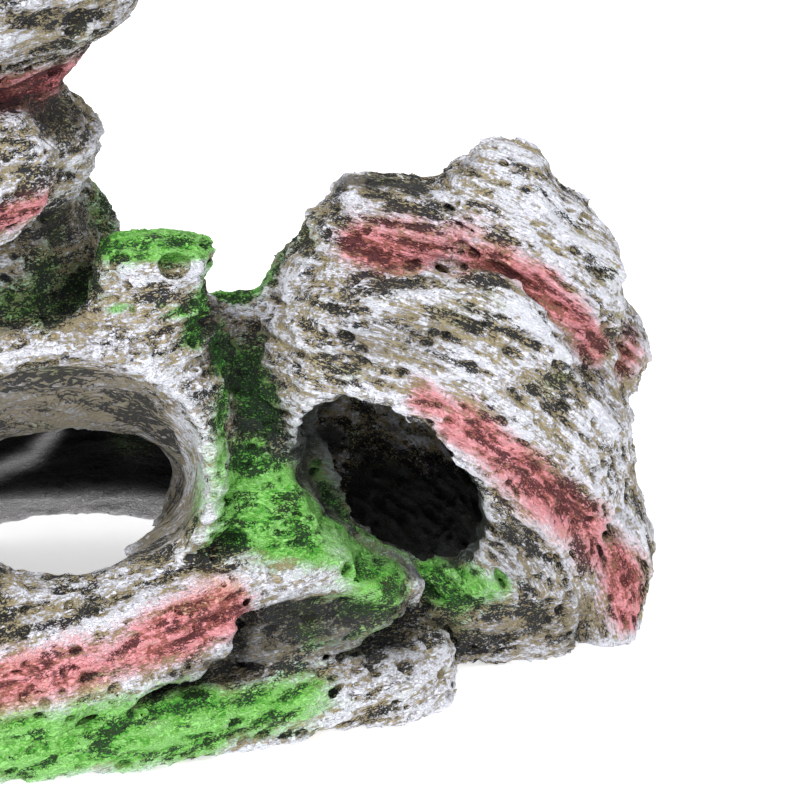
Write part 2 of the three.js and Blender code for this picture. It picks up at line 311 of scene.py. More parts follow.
def sampled(field, points, part=None):
    """The values of the grid, or of a part of it, at points between its voxels."""
    first = ORIGIN + ([s.start for s in part] if part else 0)
    place = points / VOXEL - first
    cell = np.clip(np.floor(place).astype(int), 0, np.array(field.shape) - 2)
    t = (place - cell).astype(np.float32)
    total = np.zeros(len(points), np.float32)
    for dx in (0, 1):
        for dy in (0, 1):
            for dz in (0, 1):
                weight = np.ones(len(points), np.float32)
                for axis, side in enumerate((dx, dy, dz)):
                    weight *= t[:, axis] if side else 1 - t[:, axis]
                total += weight * field[cell[:, 0] + dx, cell[:, 1] + dy, cell[:, 2] + dz]
    return total


def joined(rock, field, crease):
    """Two solids as one, with the crease between them filled."""
    mix = np.clip(0.5 + 0.5 * (rock - field) / crease, 0, 1)
    return rock * (1 - mix) + field * mix - crease * mix * (1 - mix)


def hewn(field, node):
    """A casting swollen a little and then cut by its flat faces."""
    x, y, z = grid_axes(casting_window(node))
    field = field - SWELLING
    for *place, look in HEWN[node]:
        px, py, pz = at(node, *place)
        nx, ny, nz = (np.array(look) / np.linalg.norm(look)).astype(np.float32)
        field = np.maximum(field, (x - px) * nx + (y - py) * ny + (z - pz) * nz)
    return np.minimum(field, REACH)


def join_castings():
    """The rock as one solid, and for each voxel the nearest casting and the two least distances."""
    far = np.float32(REACH)
    rock = np.full(COUNT, far, np.float32)
    nearest = np.full(COUNT, far, np.float32)
    second = np.full(COUNT, far, np.float32)
    owner = np.zeros(COUNT, np.uint8)
    fields = {}
    for k, node in enumerate(NODES):
        part = casting_window(node)
        field = fields[node] = distances(node)
        shape = hewn(field, node) if node in HEWN else field
        rock[part] = joined(rock[part], shape, CREASE.get(node, LEAST_CREASE))
        closer = field < nearest[part]
        second[part] = np.where(closer, nearest[part], np.minimum(second[part], field))
        owner[part] = np.where(closer, k, owner[part])
        nearest[part] = np.where(closer, field, nearest[part])
    return rock, fields, nearest, second, owner


# ---------------------------------------------------------------- ridges and grooves

# Each is a radius, a height and a path over the castings. A groove has a height below zero.
STROKES = [
    # the lip of the arch, worn thin
    (5.0, -1.2, [("arch_rim", 0.40, 0.40, 0.16), ("arch_apron", 0.50, 0.60, 0.70)]),
    (4.0, 2.2, [("arch_apron", 0.47, 0.36, 0.66), ("arch_apron", 0.52, 0.40, 0.68)]),
    (3.0, -3.2, [("arch_rim", 0.32, 0.78, 0.13), ("arch_rim", 0.39, 0.68, 0.12)]),
    (2.6, -2.6, [("arch_rim", 0.73, 0.72, 0.12), ("arch_rim", 0.77, 0.76, 0.13)]),
    # the groove between the crag and the boulder, and the boulder's raised lip under it
    (3.0, -2.6, [
        ("crag_shoulder", 0.50, 0.22, 0.76), ("crag_shoulder", 0.75, 0.12, 0.70),
        ("crag_peak", 0.34, 0.10, 0.61), ("crag_peak", 0.55, 0.04, 0.54),
        ("crag_peak", 0.70, 0.03, 0.43), ("crag_peak", 0.84, 0.12, 0.26),
    ]),
    (1.7, 1.8, [
        ("cave_boulder", 0.30, 0.10, 0.97), ("cave_boulder", 0.41, 0.07, 0.98),
        ("cave_boulder", 0.53, 0.09, 0.97), ("cave_boulder", 0.64, 0.09, 0.95),
        ("cave_boulder", 0.73, 0.08, 0.87), ("cave_boulder", 0.83, 0.12, 0.74),
        ("cave_boulder", 0.90, 0.20, 0.60),
    ]),
    # the red groove down the boulder, with a knob beside it
    (3.0, -2.3, [
        ("cave_boulder", 0.40, 0.00, 0.78), ("cave_boulder", 0.52, 0.01, 0.69),
        ("cave_boulder", 0.60, 0.02, 0.62), ("cave_boulder", 0.72, 0.09, 0.50),
        ("cave_boulder", 0.85, 0.20, 0.34), ("corner_buttress", 0.50, 0.02, 0.52),
    ]),
    (1.6, 1.2, [
        ("cave_boulder", 0.56, 0.01, 0.76), ("cave_boulder", 0.72, 0.06, 0.62),
        ("cave_boulder", 0.86, 0.16, 0.46),
    ]),
    (3.2, 2.8, [("cave_boulder", 0.71, 0.12, 0.43), ("cave_boulder", 0.75, 0.14, 0.37)]),
    # the crack where the broken wedge ends
    (1.9, -2.8, [
        ("dark_ledge", 0.30, 0.35, 1.02), ("dark_ledge", 0.27, 0.05, 0.75),
        ("dark_ledge", 0.20, -0.05, 0.20),
    ]),
    # the shelf under the cave and the notches of the crag
    (2.2, -1.6, [
        ("cave_sill", 0.20, 0.04, 0.72), ("cave_sill", 0.55, 0.0, 0.62),
        ("cave_sill", 0.90, 0.12, 0.5),
    ]),
    (4.0, -4.0, [("crag_peak", 0.76, 0.1, 0.86), ("crag_peak", 0.76, 0.8, 0.86)]),
    (6.0, -2.6, [
        ("crag_peak", 0.40, 0.30, 1.02), ("crag_peak", 0.66, 0.30, 1.02),
        ("crag_peak", 0.66, 0.75, 1.02), ("crag_peak", 0.40, 0.75, 1.02),
    ]),
    (2.2, -2.0, [("crag_peak", 0.98, 0.1, 0.5), ("crag_peak", 0.98, 0.5, 0.5)]),
    (2.4, 1.8, [("crag_shoulder", 0.48, 0.30, 0.98), ("crag_shoulder", 0.48, 0.55, 0.98)]),
    (3.0, -1.6, [("crag_shoulder", 0.85, 0.2, 1.0), ("crag_shoulder", 0.85, 0.6, 1.0)]),
    # the layers of the pinnacle
    (2.0, -2.0, [
        ("pinnacle_cap", 0.0, 0.0, 0.45), ("pinnacle_cap", 0.6, -0.02, 0.5),
        ("pinnacle_cap", 1.0, 0.2, 0.55),
    ]),
    (2.2, -2.2, [("pinnacle_plate", 0.4, 0.0, 0.1), ("pinnacle_plate", 1.0, 0.3, 0.16)]),
    (1.6, -1.6, [("pinnacle_shoulder", 0.93, 0.0, 0.9), ("pinnacle_shoulder", 0.9, 0.1, 0.2)]),
    # the neck of the stump and the broken edge of its moss
    (2.0, -1.4, [("stump", 0.2, 0.06, 0.93), ("stump", 0.6, -0.02, 0.90), ("stump", 0.95, 0.2, 0.88)]),
    (1.6, 1.4, [("stump_moss", 0.2, 0.1, 0.4), ("stump_moss", 0.32, 0.0, -0.1)]),
    (1.8, 1.6, [("stump_moss", 0.85, 0.05, 0.4), ("stump_moss", 0.9, 0.05, -0.4)]),
    (2.0, 1.2, [("stump_moss", 0.35, 0.5, 1.0), ("stump_moss", 0.6, 0.6, 1.0)]),
]

# The big pits that show one by one: a place on a casting and a radius.
BIG_PITS = [
    ("stump_moss", 0.16, 0.18, 0.55, 1.6),
    ("stump_moss", 0.65, 0.03, 0.45, 2.4),
    ("stump", 0.43, 0.14, 0.93, 0.9),
    ("stump_moss", 0.90, 0.10, 0.20, 1.3),
    ("crag_peak", 0.30, 0.12, 0.78, 1.0),
    ("crag_shoulder", 0.35, 0.30, 0.80, 1.1),
    ("crag_shoulder", 0.85, 0.15, 0.90, 0.9),
    ("upper_ledge", 0.66, 0.08, 0.80, 1.2),
    ("upper_ledge", 0.50, 0.05, 0.62, 1.3),
    ("upper_ledge", 0.56, 0.05, 0.40, 1.0),
    ("lower_ledge", 0.80, 0.28, 0.70, 1.1),
    ("lower_ledge", 0.86, 0.40, 0.90, 0.9),
]


def stops(path):
    return np.array([at(*stop) for stop in path])


def path_distance(x, y, z, points):
    """Distance of places from a chain of points."""
    least = np.float32(np.inf)
    for start, end in zip(points, points[1:]):
        run = (end - start).astype(np.float32)
        x0, y0, z0 = (np.float32(value) for value in start)
        share = ((x - x0) * run[0] + (y - y0) * run[1] + (z - z0) * run[2]) / (run @ run)
        share = np.clip(share, 0, 1)
        gap_x = x - x0 - share * run[0]
        gap_y = y - y0 - share * run[1]
        gap_z = z - z0 - share * run[2]
        least = np.minimum(least, gap_x**2 + gap_y**2 + gap_z**2)
    return np.sqrt(least)


def sculpt(rock, radius, height, path):
    """Raises a ridge along a path, or digs a groove."""
    points = stops(path)
    part = window(points.min(axis=0) - 2.5 * radius, points.max(axis=0) + 2.5 * radius)
    away = path_distance(*grid_axes(part), points)
    rock[part] -= height * np.exp(-((away / radius) ** 2))


# ---------------------------------------------------------------- weathering

# Turns along a layer of the domed rock, or along a ring of the funnel, count at these radii.
DOME_RADIUS = 60
RING_RADIUS = 18
DOME_FOOT = at("cave_boulder", -0.05, 0.3, -0.15)
FUNNEL = OPENINGS["arch_mouth"].mean(axis=0) + [0, 0, 2]
# The hole at the funnel's narrow end, and the chamber behind it, which narrows towards its roof.
HOLE = np.array([FUNNEL[0], OPENINGS["chamber"][0][1], FUNNEL[2] - 3])
HOLE_REACH = 18.5, 11.5
CHAMBER_REACH = 43.0, 27.0
CHAMBER_ROOF = 50.0
CHAMBER_MIDDLE = OPENINGS["chamber"].mean(axis=0)
# The parts of the cave, and how far its walls are from them.
CAVE_PARTS = {"cave_pocket": 12.0, "cave_lower": 8.5, "cave_middle": 9.5, "cave_upper": 9.5}
CAVE_FRONT = at("cave_boulder", 0, 0.13, 0)[1]
# The cave's level in the inside mask, which is 1 in the chamber: it picks the dark grey painted shade for
# the cave's walls rather than the chamber's black.
CAVE_PAINT = 0.74
FUNNEL_REACH = 28.3, 29.5
FUNNEL_ENDS = at("arch_rim", 0, 0.16, 0)[1], at("arch_rim", 0, 1.3, 0)[1]


def tilted(points, rise):
    """Points as (along, across, height), with the layers rising to the right by that slope."""
    c, s = np.cos(np.arctan(rise)), np.sin(np.arctan(rise))
    x, y, z = points.T
    return np.stack([c * x + s * z, y, c * z - s * x], axis=1)


def bedded(points, kind):
    """The points as (along a layer, deep along it, height through the layers)."""
    if kind == "dome":
        x, y, z = (points - DOME_FOOT).T
        return np.stack([DOME_RADIUS * np.arctan2(x, z), y, np.hypot(x, z) + 0.15 * y], axis=1)
    if kind == "funnel":
        x, y, z = (points - FUNNEL).T
        out = np.hypot(x, z)
        return np.stack([RING_RADIUS * np.arctan2(z, x), 0.3 * out, y + 0.25 * out], axis=1)
    return tilted(points, {"level": 0.13, "ledge": 0.27, "lumpy": 0.05}[kind])


def layers(height, thickness, seed):
    """How far each layer of the rock stands out, -1 to 1, with a short ramp from layer to layer."""
    stand = np.random.default_rng(SEED * 1000 + seed).uniform(-1, 1, 64).astype(np.float32)
    place = height / thickness
    k = np.floor(place).astype(int)
    ramp = smooth_step(place - k, 0, 0.2)
    return stand[k & 63] * ramp + stand[(k - 1) & 63] * (1 - ramp)


def pitted_share(points):
    """1 where the rock is eaten by a net of small pits, 0 where it is smooth."""
    return smooth_step(fractal(points, 10, 2, 40), -0.25, 0.4)


def relief(points, kind):
    """How far the weathered surface stands out from the smooth rock at these points."""
    lump, plate, rill, net = RELIEF[kind]
    pitted = pitted_share(points)
    bed = bedded(points, kind).astype(np.float32)
    bed[:, 2] += 1.3 * fractal(points, 14, 2, 30)
    along, deep, height = bed.T
    total = lump * fractal(points, 9, 3, 10)
    ledges = 0.65 * layers(height, 5.6, 61) + 0.35 * layers(height, 2.2, 62)
    total += plate * ledges * (0.45 + 0.55 * smooth_step(Perlin(45)(points / 15), -0.4, 0.4))
    coarse = Perlin(50)(np.stack([along / 10, deep / 8, height / 2.7], axis=1))
    fine = Perlin(51)(np.stack([along / 5, deep / 4, height / 1.3], axis=1))
    total += rill * (1.6 * crests(coarse) * (1 - 0.6 * pitted) + 0.5 * fine)
    cells = Perlin(52)(np.stack([along / 2.7, deep / 2.2, height / 1.7], axis=1))
    total += net * 1.3 * crests(cells) * (0.25 + 0.75 * pitted)
    return np.clip(total, -MOST_RELIEF, MOST_RELIEF)


def chamber_share(points):
    """1 in the chamber and on its walls, 0 outside."""
    x, y = (points - CHAMBER_MIDDLE).T[:2]
    narrow = 1 - 0.33 * (points[:, 2] / CHAMBER_ROOF) ** 2
    wide, deep = CHAMBER_REACH
    away = np.cbrt(np.abs(x / (wide * narrow)) ** 3 + np.abs(y / (deep * narrow)) ** 3)
    below_roof = 1 - smooth_step(points[:, 2], CHAMBER_ROOF, CHAMBER_ROOF + 3)
    share = (1 - smooth_step(away, 1.04, 1.09)) * below_roof
    x, y, z = (points - HOLE).T
    in_hole = 1 - smooth_step(np.hypot(x / HOLE_REACH[0], z / HOLE_REACH[1]), 1.1, 1.2)
    return share * (1 - in_hole * (1 - smooth_step(y, 1, 3)))


def facing_share(points, look, centre):
    """1 where the rock looks towards a centre, 0 where it looks away from it."""
    if look is None:
        return 1.0
    way = centre - points
    return smooth_step((look * way).sum(axis=1) / np.linalg.norm(way, axis=1), -0.15, 0.15)


def inside_share(points, look=None, less=0.0):
    """1 on the walls of the chamber and the cave, 0 on the outside of the rock."""
    share = chamber_share(points) * facing_share(points, look, CHAMBER_MIDDLE)
    for name, reach in CAVE_PARTS.items():
        low, high = OPENINGS[name]
        low = np.maximum(low, [low[0], CAVE_FRONT, low[2]])
        away = np.linalg.norm(np.maximum(np.maximum(low - points, points - high), 0), axis=1)
        near = 1 - smooth_step(away, reach - less - 1.5, reach - less)
        share = np.maximum(share, CAVE_PAINT * near * facing_share(points, look, (low + high) / 2))
    return share


def funnel_share(points):
    """1 on the smooth funnel of the arch, 0 outside it."""
    x, _, z = (points - FUNNEL).T
    front, back = FUNNEL_ENDS
    depth = smooth_step(points[:, 1], front, front + 3) * (1 - smooth_step(points[:, 1], back - 4, back))
    lower = smooth_step(z, -14, -9)
    away = np.hypot(x / FUNNEL_REACH[0], z / FUNNEL_REACH[1])
    return depth * lower * (1 - smooth_step(away, 0.86, 1.0))


# Lips that are worn smooth, as a radius, a strength and a path.
WORN_SMOOTH = [
    (3.6, 1.2, [
        ("arch_rim", 0.90, 0.12, 0.73), ("arch_rim", 0.92, 0.30, 0.55),
        ("arch_rim", 0.92, 0.33, 0.43),
    ]),
    (3.6, 1.2, [("arch_rim", 0.92, 0.33, 0.43), ("arch_rim", 0.89, 0.30, 0.27)]),
]


def weather(rock, owner):
    """The rock with the relief of each kind of bedding, blended where two kinds meet."""
    band = np.nonzero(np.abs(rock) < BAND)
    points = (np.stack(band, axis=1) + ORIGIN).astype(np.float32) * np.float32(VOXEL)
    kind_of_node = np.array([list(RELIEF).index(BEDDING.get(node, "level")) for node in NODES])
    kind_grid = kind_of_node[owner].astype(np.uint8)
    funnel = in_threads(funnel_share, points)
    total = np.zeros(len(points), np.float32)
    for k, kind in enumerate(RELIEF):
        if kind == "funnel":
            weight = funnel
        else:
            weight = widely_blurred((kind_grid == k).astype(np.float32), 1.8)[band] * (1 - funnel)
        used = weight > 0.02
        total[used] += weight[used] * in_threads(lambda group: relief(group, kind), points[used])
    total *= 1 - 0.5 * in_threads(lambda group: inside_share(group, less=5), points)
    total *= 1 - 0.85 * in_threads(lambda group: sprayed(group, WORN_SMOOTH), points)
    out = rock.copy()
    out[band] -= total
    return out


# ---------------------------------------------------------------- pits


def pit(rock, centre, along, radius, stretch, depth_share=1.0):
    """Digs one pit: a ball of that radius, stretched along a direction."""
    reach = radius * stretch + VOXEL
    part = window(centre - reach, centre + reach)
    x, y, z = (axis - centre[k] for k, axis in enumerate(grid_axes(part)))
    run = x * along[0] + y * along[1] + z * along[2]
    away = np.sqrt(x * x + y * y + z * z - run * run * (1 - 1 / stretch**2))
    rock[part] = np.maximum(rock[part], (radius - away) * depth_share)


def bubble_pits(rock, owner):
    """Pits left by air bubbles, scattered over the rock, most of them stretched along the layers."""
    rng = np.random.default_rng(SEED)
    skin = np.argwhere(np.abs(rock) < 0.5 * VOXEL)
    count = int(len(skin) * VOXEL**2 * PITS_PER_AREA)
    chosen = skin[rng.choice(len(skin), count, replace=False)]
    centres = (chosen + ORIGIN) * VOXEL
    rolls = rng.random((count, 3))
    crowd = Perlin(70)(centres / 7)
    calm = np.maximum(inside_share(centres, less=5), funnel_share(centres))
    used = (crowd > 1.1 * rolls[:, 0] - 0.55) & (calm < 0.5)
    directions = {}
    for kind in RELIEF:
        steps = [bedded(centres + step, kind)[:, 2] for step in ([0, 0, 0], [0.5, 0, 0], [0, 0, 0.5])]
        slope = np.stack([steps[2] - steps[0], np.zeros(count), steps[0] - steps[1]], axis=1)
        directions[kind] = slope / np.maximum(np.linalg.norm(slope, axis=1), 1e-6)[:, None]
    for k in np.nonzero(used)[0]:
        kind = BEDDING.get(NODES[owner[tuple(chosen[k])]], "level")
        size, sink = rolls[k, 1:]
        radius = 0.42 + 0.75 * size**4
        stretch = 1 + 1.6 * sink * (kind != "lumpy")
        pit(rock, centres[k], directions[kind][k], radius, stretch, 0.9)


# ---------------------------------------------------------------- where the paint and the painted light go

# Sprays of paint, and of painted light on the lit bands inside the chamber: a radius, a strength and a
# path over the castings.
SPRAYS = {
    "red": [
        (4.2, 1.2, [
            ("crag_shoulder", 0.50, 0.22, 0.78), ("crag_shoulder", 0.70, 0.14, 0.74),
            ("crag_peak", 0.05, 0.12, 0.70), ("crag_peak", 0.34, 0.10, 0.64),
            ("crag_peak", 0.52, 0.06, 0.58),
        ]),
        (3.4, 1.2, [
            ("crag_peak", 0.52, 0.06, 0.58), ("crag_peak", 0.69, 0.03, 0.46),
            ("crag_peak", 0.83, 0.14, 0.30),
        ]),
        (7.0, 0.75, [("crag_shoulder", 0.60, 0.18, 0.80), ("crag_shoulder", 0.95, 0.15, 0.78)]),
        (4.5, 0.9, [("crag_knob", 0.35, 0.05, 0.50), ("crag_knob", 0.60, 0.10, 0.55)]),
        (3.2, 1.1, [("cave_boulder", 0.40, 0.00, 0.77), ("cave_boulder", 0.50, 0.01, 0.71)]),
        (4.6, 1.3, [
            ("cave_boulder", 0.50, 0.01, 0.70), ("cave_boulder", 0.60, 0.02, 0.61),
            ("cave_boulder", 0.72, 0.09, 0.49),
        ]),
        (4.6, 1.3, [
            ("cave_boulder", 0.72, 0.09, 0.49), ("cave_boulder", 0.85, 0.20, 0.34),
            ("corner_buttress", 0.50, 0.02, 0.52), ("corner_buttress", 0.72, 0.06, 0.20),
        ]),
        (4.2, 0.9, [
            ("pinnacle_neck", 0.0, 0.2, 0.4), ("pinnacle_neck", 0.5, 0.0, 0.5),
            ("pinnacle_neck", 1.0, 0.3, 0.7),
        ]),
        (3.8, 1.4, [
            ("pinnacle_plate", 0.1, 0.1, 0.16), ("pinnacle_plate", 0.6, 0.05, 0.22),
            ("pinnacle_plate", 1.0, 0.25, 0.30),
        ]),
        (5.5, 1.3, [
            ("upper_ledge", 0.25, 0.05, 0.34), ("upper_ledge", 0.48, 0.02, 0.54),
            ("upper_ledge", 0.73, 0.06, 0.68), ("upper_ledge", 0.95, 0.28, 0.84),
        ]),
        (4.0, 0.8, [("left_ledge", 0.2, 0.1, 0.6), ("left_ledge", 0.9, 0.1, 0.8)]),
        (4.0, 0.8, [("left_flank", 0.0, 0.2, 0.8), ("left_flank", 0.0, 0.6, 0.75)]),
        (4.5, 0.8, [
            ("back_wall", 0.15, 1.0, 0.75), ("back_wall", 0.45, 1.0, 0.6),
            ("back_wall", 0.8, 1.0, 0.55),
        ]),
    ],
    "green": [
        (3.0, 2.0, [("stump_moss", 0.1, 0.2, 1.15), ("stump_moss", 0.95, 0.2, 1.15)]),
        (3.5, 2.0, [("stump_moss", 0.1, 0.5, 1.15), ("stump_moss", 0.9, 0.5, 1.15)]),
        (3.5, 2.0, [("stump_moss", 0.1, 0.85, 1.15), ("stump_moss", 0.9, 0.85, 1.15)]),
        (3.0, 0.9, [("stump", 0.93, 0.3, 0.95), ("stump", 0.80, 0.15, 0.55)]),
        (1.3, 0.9, [("stump", 0.25, 0.10, 0.80), ("stump", 0.80, 0.10, 0.76)]),
        (8.0, 1.0, [("crevice_rock", 0.5, 0.8, 1.0), ("crevice_rock", 0.9, 0.8, 1.0)]),
        (3.6, 0.8, [("stump", 0.95, 0.4, 0.40), ("arch_rim", 0.97, 0.08, 0.51)]),
        (7.0, 0.6, [("crevice_rock", 0.50, 0.10, 0.90), ("moss_slope", 0.22, 0.45, 0.95)]),
        (8.0, 2.2, [
            ("moss_slope", 0.18, 0.15, 0.62), ("moss_slope", 0.34, 0.12, 0.52),
            ("moss_slope", 0.66, 0.12, 0.32),
        ]),
        (5.5, 1.3, [("moss_slope", 0.62, 0.12, 0.34), ("arch_apron", 0.94, 0.5, 0.80)]),
        (3.6, 0.9, [("arch_rim", 0.97, 0.08, 0.42), ("arch_rim", 0.96, 0.08, 0.28)]),
        (4.5, 1.2, [
            ("moss_slope", 0.98, 0.45, 0.02), ("cave_boulder", 0.47, 0.20, 0.22),
            ("cave_boulder", 0.60, 0.22, 0.22),
        ]),
        (3.6, 0.85, [
            ("moss_slope", 0.47, 0.62, 0.54), ("moss_slope", 0.51, 0.62, 0.36),
            ("moss_slope", 0.70, 0.45, 0.20),
        ]),
        (3.6, 0.85, [
            ("moss_slope", 0.70, 0.45, 0.20), ("cave_boulder", 0.47, 0.19, 0.24),
            ("cave_boulder", 0.54, 0.17, 0.26),
        ]),
        (9.0, 0.5, [("pinnacle_base", 0.5, 0.05, 0.5), ("pinnacle_base", 0.9, 0.15, 0.5)]),
        (6.0, 0.45, [("pinnacle_base", 1.0, 0.45, 0.95), ("pinnacle_base", 1.0, 0.60, 0.60)]),
        (12.0, 0.5, [("rear_ridge", 0.3, 0.6, 0.8), ("rear_ridge", 0.8, 0.6, 0.6)]),
        (6.5, 1.35, [
            ("lower_ledge", 0.10, 0.1, 0.5), ("lower_ledge", 0.39, 0.03, 0.50),
            ("lower_ledge", 0.60, 0.12, 0.62),
        ]),
        (5.5, 1.0, [("lower_ledge", 0.60, 0.12, 0.62), ("lower_ledge", 0.76, 0.25, 0.72)]),
        (3.0, 0.6, [("dark_ledge", 0.55, 0.05, 0.35), ("dark_ledge", 0.85, 0.15, 0.30)]),
        (10.0, 1.1, [("saddle_moss", 0.3, 0.5, 0.9), ("saddle_moss", 0.7, 0.5, 0.9)]),
        (8.0, 1.1, [("rear_ledge", 0.3, 0.8, 0.9), ("rear_ledge", 0.7, 0.8, 0.9)]),
        (7.0, 1.1, [("left_step", 0.3, 0.3, 1.0), ("left_step", 0.6, 0.5, 1.0)]),
    ],
    "dark": [
        (7.5, 1.1, [
            ("stump", 0.97, 0.4, 0.40), ("crevice_rock", 0.60, 0.10, 0.74),
            ("moss_slope", 0.22, 0.45, 0.95),
        ]),
        (7.0, 1.3, [
            ("dark_ledge", 0.0, 0.1, 0.3), ("dark_ledge", 0.5, 0.0, 0.6),
            ("dark_ledge", 0.9, 0.2, 0.35),
        ]),
        (3.0, 1.0, [("upper_ledge", 0.85, 0.15, 0.42), ("upper_ledge", 1.0, 0.3, 0.60)]),
        (7.0, 0.5, [
            ("cave_sill", 0.1, 0.1, 0.4), ("cave_sill", 0.5, 0.0, 0.4),
            ("cave_sill", 1.0, 0.1, 0.3),
        ]),
        (7.0, 0.55, [("cave_boulder", 0.62, 0.10, 0.34), ("cave_boulder", 0.70, 0.10, 0.22)]),
        (5.0, 1.0, [("pinnacle_base", 0.2, 0.1, 0.92), ("pinnacle_base", 0.9, 0.2, 0.90)]),
        (9.0, 0.7, [("pinnacle_base", 0.3, 0.1, 0.4), ("pinnacle_base", 0.85, 0.2, 0.45)]),
        (2.6, 1.2, [
            ("crag_shoulder", 0.40, 0.5, 1.0), ("crag_shoulder", 0.80, 0.5, 1.0),
            ("crag_peak", 0.20, 0.5, 0.95),
        ]),
        (6.0, 0.7, [("pinnacle_base", 1.0, 0.45, 0.95), ("pinnacle_base", 1.0, 0.60, 0.60)]),
        (6.5, 1.2, [("pinnacle_neck", 0.0, 0.1, 0.2), ("pinnacle_neck", 1.0, 0.2, 0.4)]),
        (12.0, 0.3, [("pinnacle_cap", 0.0, 0.0, 0.3), ("pinnacle_cap", 1.0, 0.2, 0.4)]),
        (5.0, 0.5, [("cave_boulder", 0.25, 0.05, 0.90), ("cave_boulder", 0.42, 0.03, 0.90)]),
        (16.0, 0.35, [("back_wall", 0.2, 1.0, 0.5), ("back_wall", 0.8, 1.0, 0.4)]),
    ],
    "white": [
        (2.4, 1.2, [
            ("cave_boulder", 0.50, 0.12, 0.98), ("cave_boulder", 0.62, 0.09, 0.95),
            ("cave_boulder", 0.73, 0.08, 0.87), ("cave_boulder", 0.83, 0.12, 0.74),
            ("cave_boulder", 0.90, 0.20, 0.60),
        ]),
        (3.6, 1.1, [("cave_boulder", 0.71, 0.12, 0.43), ("cave_boulder", 0.76, 0.14, 0.37)]),
        (3.0, 1.6, [
            ("arch_rim", 0.875, 0.36, 0.64), ("arch_rim", 0.885, 0.50, 0.48),
            ("arch_rim", 0.88, 0.66, 0.32),
        ]),
        (5.0, 1.0, [
            ("arch_rim", 0.80, 0.12, 0.87), ("arch_rim", 0.89, 0.25, 0.70),
            ("arch_rim", 0.89, 0.35, 0.45),
        ]),
        (2.6, 1.1, [
            ("upper_ledge", 0.30, 0.10, 0.58), ("upper_ledge", 0.48, 0.13, 0.74),
            ("upper_ledge", 0.99, 0.33, 1.07),
        ]),
        (3.0, 0.9, [("upper_ledge", 0.48, 0.02, 0.16), ("upper_ledge", 0.80, 0.10, 0.44)]),
        (9.0, 0.6, [("lower_ledge", 0.84, 0.3, 0.8), ("lower_ledge", 0.97, 0.45, 0.6)]),
        (13.0, 0.8, [("crag_peak", 0.50, 0.2, 0.80), ("crag_peak", 0.90, 0.3, 0.65)]),
        (8.0, 0.5, [("crag_shoulder", 0.15, 0.3, 0.55), ("crag_shoulder", 0.40, 0.3, 0.65)]),
        (6.0, 0.5, [("cave_boulder", 0.85, 0.12, 0.62), ("cave_boulder", 0.92, 0.25, 0.40)]),
        (7.0, 0.7, [("moss_slope", 0.25, 0.12, 0.55), ("moss_slope", 0.62, 0.12, 0.36)]),
    ],
    # painted light: near-white on the lit bottom edge of the back wall and on a lit bulge inside the
    # chamber
    "lit_rim": [
        (2.8, 2.4, [("rear_ledge", 0.00, 0.64, 0.24), ("rear_ledge", 0.42, 0.50, 0.26)]),
        (1.6, 0.9, [
            ("back_wall", 0.21, 0.90, 0.26), ("back_wall", 0.28, 0.89, 0.33),
            ("back_wall", 0.31, 0.87, 0.42),
        ]),
    ],
}


def sprayed(points, sprays):
    """How much of a sprayed paint reaches each point, 0 to 1."""
    total = np.zeros(len(points), np.float32)
    for radius, strength, path in sprays:
        away = path_distance(*points.T, stops(path))
        total = np.maximum(total, strength * np.exp(-((away / radius) ** 2)))
    return np.minimum(total, 1)


# ---------------------------------------------------------------- castings from the grid


def extracted(field, part):
    """Points and quads of the surface of a part of the grid."""
    grid = openvdb.FloatGrid(REACH)
    grid.transform = openvdb.createLinearTransform(VOXEL)
    first = tuple(int(ORIGIN[k] + part[k].start) for k in range(3))
    grid.copyFromArray(np.ascontiguousarray(np.clip(field, -REACH, REACH)), ijk=first)
    points, quads = grid.convertToQuads(isovalue=0.0)
    return points, quads


def sharpened(points, fields, part):
    """Moves the points that the grid rounded off back to where both fields are zero."""
    values = [sampled(field, points, part) for field in fields]
    blunt = np.maximum(*values) < -0.02
    moved = points[blunt].astype(np.float64)
    half_step = 0.5 * VOXEL
    for _ in range(3):
        rows = []
        for field in fields:
            steps = []
            for axis in range(3):
                step = np.zeros(3)
                step[axis] = half_step
                ahead = sampled(field, moved + step, part)
                behind = sampled(field, moved - step, part)
                steps.append((ahead - behind) / VOXEL)
            rows.append((sampled(field, moved, part), np.stack(steps, axis=1)))
        (a, slope_a), (b, slope_b) = rows
        aa = (slope_a * slope_a).sum(1) + 1e-3
        bb = (slope_b * slope_b).sum(1) + 1e-3
        ab = (slope_a * slope_b).sum(1)
        scale = aa * bb - ab * ab
        push_a = ((a * bb - b * ab) / scale)[:, None] * slope_a
        push_b = ((b * aa - a * ab) / scale)[:, None] * slope_b
        moved -= np.clip(push_a + push_b, -LONGEST_PUSH, LONGEST_PUSH)
    out = points.copy()
    near = np.abs(moved - points[blunt]).max(axis=1) < VOXEL
    out[blunt] = np.where(near[:, None], moved, points[blunt])
    return out


def main_body(points, quads):
    """The largest connected body of a mesh, without crumbs."""
    label = np.arange(len(points))
    edges = np.concatenate([quads[:, [0, 1]], quads[:, [1, 2]], quads[:, [2, 3]]]).astype(np.int64)
    while True:
        lowest = np.minimum(label[edges[:, 0]], label[edges[:, 1]])
        before = label.copy()
        np.minimum.at(label, edges[:, 0], lowest)
        np.minimum.at(label, edges[:, 1], lowest)
        label = label[label]
        label = label[label]
        if np.array_equal(label, before):
            break
    keep = label == np.bincount(label).argmax()
    index = np.cumsum(keep) - 1
    return points[keep], index[quads[keep[quads[:, 0]]]]


